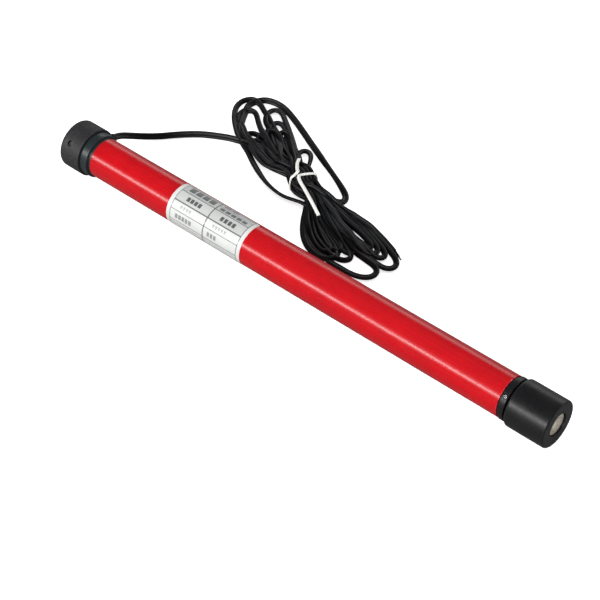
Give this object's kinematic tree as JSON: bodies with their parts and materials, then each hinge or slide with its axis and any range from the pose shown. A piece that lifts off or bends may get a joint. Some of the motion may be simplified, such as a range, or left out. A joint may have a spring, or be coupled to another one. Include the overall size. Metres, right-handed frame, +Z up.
{
  "type": "tubular blind motor",
  "caption": "Tubular roller-blind motor: red tube with a fixed black head, crown ring, setting button, a turning drive adaptor, and a flat supply cord tied in a hank.",
  "frame": {"origin": "on the table, under the middle of the motor without its cord", "axes": "+X along the tube from the head to the drive end, +Z up"},
  "size_m": [0.3538, 0.1385, 0.0304],
  "materials": {
    "red_anodised": "satin red anodised aluminium",
    "black_plastic": "fine-textured moulded black nylon",
    "black_gloss_plastic": "smooth moulded black acetal",
    "label_film": "printed silver-white polyester film",
    "cord_sheath": "black PVC twin flat flex",
    "tie_strip": "white plastic-coated twist tie",
    "steel": "turned or stamped steel",
    "plated_steel": "nickel-plated screw and washer",
    "brass_gear": "cut brass",
    "bronze_bush": "oil-filled sintered bronze",
    "copper": "enamelled copper wire and copper bars",
    "ferrite": "sintered ferrite",
    "circuit_laminate": "green solder-masked laminate",
    "white_acetal": "moulded natural acetal",
    "grey_plastic": "moulded grey plastic",
    "blue_plastic": "moulded blue plastic",
    "component_black": "moulded electronic part",
    "rubber": "soft black rubber",
    "carbon": "pressed carbon"
  },
  "bodies": {
    "root": {"head_cap": "black_plastic", "cord_grommet": "rubber", "inner_lead": "cord_sheath", "motor_tube": "red_anodised", "rating_label": "label_film", "board_carrier": "grey_plastic", "circuit_board": "circuit_laminate", "terminal_block": "blue_plastic", "smoothing_capacitor": "component_black", "motor_relay": "component_black", "controller_chip": "component_black", "motor_wire_plus": "copper", "motor_wire_minus": "copper", "hall_board": "circuit_laminate", "end_bell": "white_acetal", "motor_can": "steel", "magnet_upper": "ferrite", "magnet_lower": "ferrite", "brush_left": "carbon", "brush_right": "carbon", "rear_bush": "bronze_bush", "front_bush": "bronze_bush", "mount_plate": "steel", "motor_screw_1": "plated_steel", "motor_screw_2": "plated_steel", "damper_ring": "rubber", "ring_gear": "steel", "thrust_washer": "bronze_bush", "bearing_housing": "black_gloss_plastic", "housing_screw": "plated_steel", "output_bush_rear": "bronze_bush", "output_bush_front": "bronze_bush", "cord_lead": "cord_sheath", "cord_hank": "cord_sheath", "cable_tie": "tie_strip"},
    "crown": {"crown_ring": "black_plastic"},
    "button": {"setting_button": "black_gloss_plastic"},
    "rotor": {"rotor_shaft": "steel", "armature_core": "steel", "armature_windings": "copper", "commutator": "copper", "encoder_magnet": "ferrite", "sun_gear": "brass_gear"},
    "carrier_1": {"carrier_1": "steel"},
    "carrier_2": {"carrier_2": "steel"},
    "output": {"output_shaft": "steel", "retaining_clip": "steel", "drive_adaptor": "black_gloss_plastic", "adaptor_washer": "plated_steel", "adaptor_screw": "plated_steel"},
    "planet_1_1": {"planet_1_1": "white_acetal"},
    "planet_1_2": {"planet_1_2": "white_acetal"},
    "planet_1_3": {"planet_1_3": "white_acetal"},
    "planet_2_1": {"planet_2_1": "white_acetal"},
    "planet_2_2": {"planet_2_2": "white_acetal"},
    "planet_2_3": {"planet_2_3": "white_acetal"},
    "planet_3_1": {"planet_3_1": "steel"},
    "planet_3_2": {"planet_3_2": "steel"},
    "planet_3_3": {"planet_3_3": "steel"}
  },
  "joints": [
    {"name": "rotor_spin", "type": "hinge", "parent": "root", "child": "rotor", "pos_m": [0.04635, 0, 0.0152], "axis": [1, 0, 0], "continuous": true},
    {"name": "carrier_1_spin", "type": "hinge", "parent": "root", "child": "carrier_1", "pos_m": [0.09035, 0, 0.0152], "axis": [1, 0, 0], "continuous": true},
    {"name": "carrier_2_spin", "type": "hinge", "parent": "root", "child": "carrier_2", "pos_m": [0.10035, 0, 0.0152], "axis": [1, 0, 0], "continuous": true},
    {"name": "output_spin", "type": "hinge", "parent": "root", "child": "output", "pos_m": [0.13635, 0, 0.0152], "axis": [1, 0, 0], "continuous": true},
    {"name": "crown_spin", "type": "hinge", "parent": "root", "child": "crown", "pos_m": [-0.15825, 0, 0.0152], "axis": [1, 0, 0], "continuous": true},
    {"name": "button_press", "type": "slide", "parent": "root", "child": "button", "axis": [0, 0.766, -0.6428], "range_m": [0, 0.0006], "stiffness_N_per_m": 500},
    {"name": "planet_1_1_spin", "type": "hinge", "parent": "carrier_1", "child": "planet_1_1", "pos_m": [0.08655, 0.0054, 0.0152], "axis": [1, 0, 0], "continuous": true},
    {"name": "planet_1_2_spin", "type": "hinge", "parent": "carrier_1", "child": "planet_1_2", "pos_m": [0.08655, -0.0027, 0.01988], "axis": [1, 0, 0], "continuous": true},
    {"name": "planet_1_3_spin", "type": "hinge", "parent": "carrier_1", "child": "planet_1_3", "pos_m": [0.08655, -0.0027, 0.01052], "axis": [1, 0, 0], "continuous": true},
    {"name": "planet_2_1_spin", "type": "hinge", "parent": "carrier_2", "child": "planet_2_1", "pos_m": [0.09585, 0.0054, 0.0152], "axis": [1, 0, 0], "continuous": true},
    {"name": "planet_2_2_spin", "type": "hinge", "parent": "carrier_2", "child": "planet_2_2", "pos_m": [0.09585, -0.0027, 0.01988], "axis": [1, 0, 0], "continuous": true},
    {"name": "planet_2_3_spin", "type": "hinge", "parent": "carrier_2", "child": "planet_2_3", "pos_m": [0.09585, -0.0027, 0.01052], "axis": [1, 0, 0], "continuous": true},
    {"name": "planet_3_1_spin", "type": "hinge", "parent": "output", "child": "planet_3_1", "pos_m": [0.10755, 0.0054, 0.0152], "axis": [1, 0, 0], "continuous": true},
    {"name": "planet_3_2_spin", "type": "hinge", "parent": "output", "child": "planet_3_2", "pos_m": [0.10755, -0.0027, 0.01988], "axis": [1, 0, 0], "continuous": true},
    {"name": "planet_3_3_spin", "type": "hinge", "parent": "output", "child": "planet_3_3", "pos_m": [0.10755, -0.0027, 0.01052], "axis": [1, 0, 0], "continuous": true}
  ],
  "couplings": [
    {"joint": "carrier_1_spin", "follows": "rotor_spin", "ratio": 0.16667},
    {"joint": "carrier_2_spin", "follows": "rotor_spin", "ratio": 0.027778},
    {"joint": "output_spin", "follows": "rotor_spin", "ratio": 0.0046296},
    {"joint": "planet_1_1_spin", "follows": "rotor_spin", "ratio": -0.41667},
    {"joint": "planet_1_2_spin", "follows": "rotor_spin", "ratio": -0.41667},
    {"joint": "planet_1_3_spin", "follows": "rotor_spin", "ratio": -0.41667},
    {"joint": "planet_2_1_spin", "follows": "rotor_spin", "ratio": -0.069444},
    {"joint": "planet_2_2_spin", "follows": "rotor_spin", "ratio": -0.069444},
    {"joint": "planet_2_3_spin", "follows": "rotor_spin", "ratio": -0.069444},
    {"joint": "planet_3_1_spin", "follows": "rotor_spin", "ratio": -0.011574},
    {"joint": "planet_3_2_spin", "follows": "rotor_spin", "ratio": -0.011574},
    {"joint": "planet_3_3_spin", "follows": "rotor_spin", "ratio": -0.011574}
  ]
}
